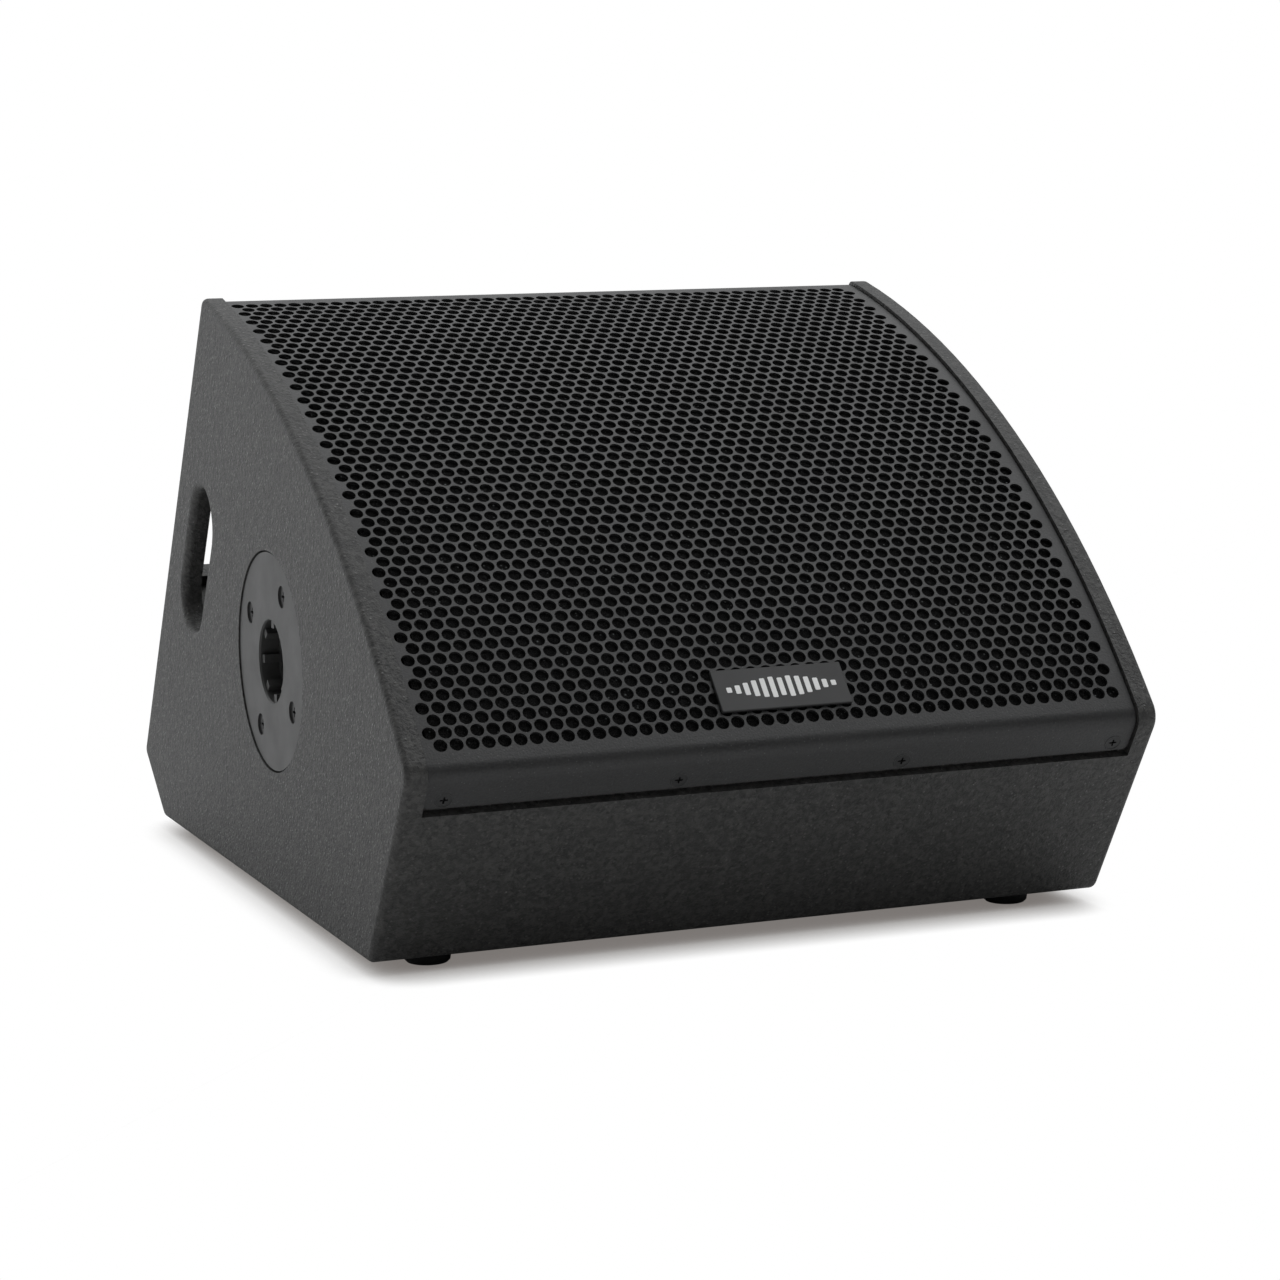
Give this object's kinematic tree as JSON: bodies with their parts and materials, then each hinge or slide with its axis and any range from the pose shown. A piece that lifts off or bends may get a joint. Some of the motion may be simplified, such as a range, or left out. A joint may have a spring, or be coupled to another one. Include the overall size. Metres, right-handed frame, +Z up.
{
  "type": "stage monitor wedge",
  "caption": "Powered plywood floor monitor with a curved perforated grille, coaxial loudspeaker, pole cup, hand slots and a recessed rear amplifier panel.",
  "frame": {"origin": "on the floor under the middle of the cabinet's bounding box", "axes": "-Y towards the listener, +Y to the rear, +X across the cabinet, +Z up"},
  "size_m": [0.43, 0.5158, 0.3374],
  "materials": {
    "textured_paint": "plywood under hard textured black paint",
    "raw_ply": "bare plywood stained dark",
    "grille_powder_coat": "smooth black powder coat",
    "grille_foam": "open-cell foam",
    "badge_plate": "satin black plate with a white level-meter mark",
    "cup_plastic": "moulded satin dark grey nylon",
    "black_screw": "black oxide",
    "foot_rubber": "black rubber",
    "gasket_rubber": "soft closed-cell gasket",
    "port_plastic": "moulded tube",
    "basket_paint": "satin black",
    "cone_paper": "doped paper pulp",
    "surround_cloth": "doped cloth",
    "spider_cloth": "resin-dipped cotton",
    "coil_copper": "enamelled wire",
    "motor_steel": "zinc plated",
    "ferrite": "sintered ferrite",
    "horn_plastic": "satin black",
    "diaphragm_titanium": "thin formed metal",
    "panel_paint": "fine textured black",
    "heatsink_aluminium": "black anodised",
    "board": "fibreglass circuit board with components",
    "transformer_wrap": "polyester-wrapped winding",
    "connector_plastic": "glass-filled nylon",
    "latch_plastic": "ribbed nylon",
    "rocker_plastic": "moulded rocker",
    "knob_plastic": "moulded knob with a white pointer",
    "button_plastic": "moulded button",
    "led_lens": "tinted lens",
    "wadding": "polyester wadding"
  },
  "bodies": {
    "cabinet": {"amp_board": "board", "amp_plate": "panel_paint", "amp_plate_screws": "black_screw", "badge": "badge_plate", "baffle": "raw_ply", "bottom_panel": "textured_paint", "combo_input_1": "connector_plastic", "combo_input_2": "connector_plastic", "control_pots": "connector_plastic", "damping_wadding": "wadding", "driver_screws": "black_screw", "foot_front_left": "foot_rubber", "foot_front_right": "foot_rubber", "foot_rear_left": "foot_rubber", "foot_rear_right": "foot_rubber", "foot_screws": "black_screw", "grille": "grille_powder_coat", "grille_foam": "grille_foam", "grille_screws_front": "black_screw", "grille_screws_rear": "black_screw", "heatsink": "heatsink_aluminium", "hf_driver_body": "basket_paint", "hf_horn": "horn_plastic", "led_lenses": "led_lens", "link_output": "connector_plastic", "lower_front_panel": "textured_paint", "magnet_front_plate": "motor_steel", "magnet_ring": "ferrite", "magnet_yoke": "motor_steel", "mains_inlet": "connector_plastic", "pole_cup": "cup_plastic", "pole_cup_screws": "black_screw", "port_tube_left": "port_plastic", "port_tube_right": "port_plastic", "power_switch_frame": "connector_plastic", "power_transformer": "transformer_wrap", "rear_chamfer_panel": "textured_paint", "rear_lower_panel": "textured_paint", "rear_upper_panel": "textured_paint", "recess_back": "textured_paint", "recess_floor": "textured_paint", "recess_top": "textured_paint", "side_panel_left": "textured_paint", "side_panel_right": "textured_paint", "woofer_basket": "basket_paint", "woofer_gasket": "gasket_rubber"},
    "woofer_cone_assembly": {"woofer_cone": "cone_paper", "voice_coil": "coil_copper", "woofer_surround": "surround_cloth", "woofer_spider": "spider_cloth"},
    "hf_diaphragm": {"hf_diaphragm": "diaphragm_titanium"},
    "power_rocker": {"power_rocker": "rocker_plastic"},
    "button_ground_lift": {"button_ground_lift": "button_plastic"},
    "latch_tab_1": {"latch_tab_1": "latch_plastic"},
    "latch_tab_2": {"latch_tab_2": "latch_plastic"},
    "knob_high": {"knob_high": "knob_plastic"},
    "knob_input_1": {"knob_input_1": "knob_plastic"},
    "knob_input_2": {"knob_input_2": "knob_plastic"},
    "knob_low": {"knob_low": "knob_plastic"},
    "knob_master": {"knob_master": "knob_plastic"}
  },
  "joints": [
    {"name": "woofer_travel", "type": "slide", "parent": "cabinet", "child": "woofer_cone_assembly", "axis": [0, -0.5225, 0.8526], "range_m": [-0.005, 0.005], "stiffness_N_per_m": 5000, "deforming": ["woofer_surround", "woofer_spider"]},
    {"name": "hf_travel", "type": "slide", "parent": "cabinet", "child": "hf_diaphragm", "axis": [0, -0.5225, 0.8526], "range_m": [-0.0004, 0.0004], "stiffness_N_per_m": 2000},
    {"name": "power_rocker_tilt", "type": "hinge", "parent": "cabinet", "child": "power_rocker", "pos_m": [-0.134, 0.10856, 0.14899], "axis": [0, -0.4802, 0.8771], "range_deg": [0, 20]},
    {"name": "ground_lift_press", "type": "slide", "parent": "cabinet", "child": "button_ground_lift", "axis": [0, -0.8771, -0.4802], "range_m": [0, 0.0025], "stiffness_N_per_m": 800},
    {"name": "latch_1_press", "type": "slide", "parent": "cabinet", "child": "latch_tab_1", "axis": [0, -0.8771, -0.4802], "range_m": [0, 0.0015], "stiffness_N_per_m": 1500},
    {"name": "latch_2_press", "type": "slide", "parent": "cabinet", "child": "latch_tab_2", "axis": [0, -0.8771, -0.4802], "range_m": [0, 0.0015], "stiffness_N_per_m": 1500},
    {"name": "knob_high_turn", "type": "hinge", "parent": "cabinet", "child": "knob_high", "pos_m": [0.04, 0.11829, 0.15204], "axis": [0, 0.8771, 0.4802], "range_deg": [-150, 150]},
    {"name": "knob_input_1_turn", "type": "hinge", "parent": "cabinet", "child": "knob_input_1", "pos_m": [0.148, 0.11829, 0.15204], "axis": [0, 0.8771, 0.4802], "range_deg": [-150, 150]},
    {"name": "knob_input_2_turn", "type": "hinge", "parent": "cabinet", "child": "knob_input_2", "pos_m": [0.11, 0.11829, 0.15204], "axis": [0, 0.8771, 0.4802], "range_deg": [-150, 150]},
    {"name": "knob_low_turn", "type": "hinge", "parent": "cabinet", "child": "knob_low", "pos_m": [0.072, 0.11829, 0.15204], "axis": [0, 0.8771, 0.4802], "range_deg": [-150, 150]},
    {"name": "knob_master_turn", "type": "hinge", "parent": "cabinet", "child": "knob_master", "pos_m": [0.04, 0.09908, 0.18713], "axis": [0, 0.8771, 0.4802], "range_deg": [-150, 150]}
  ]
}
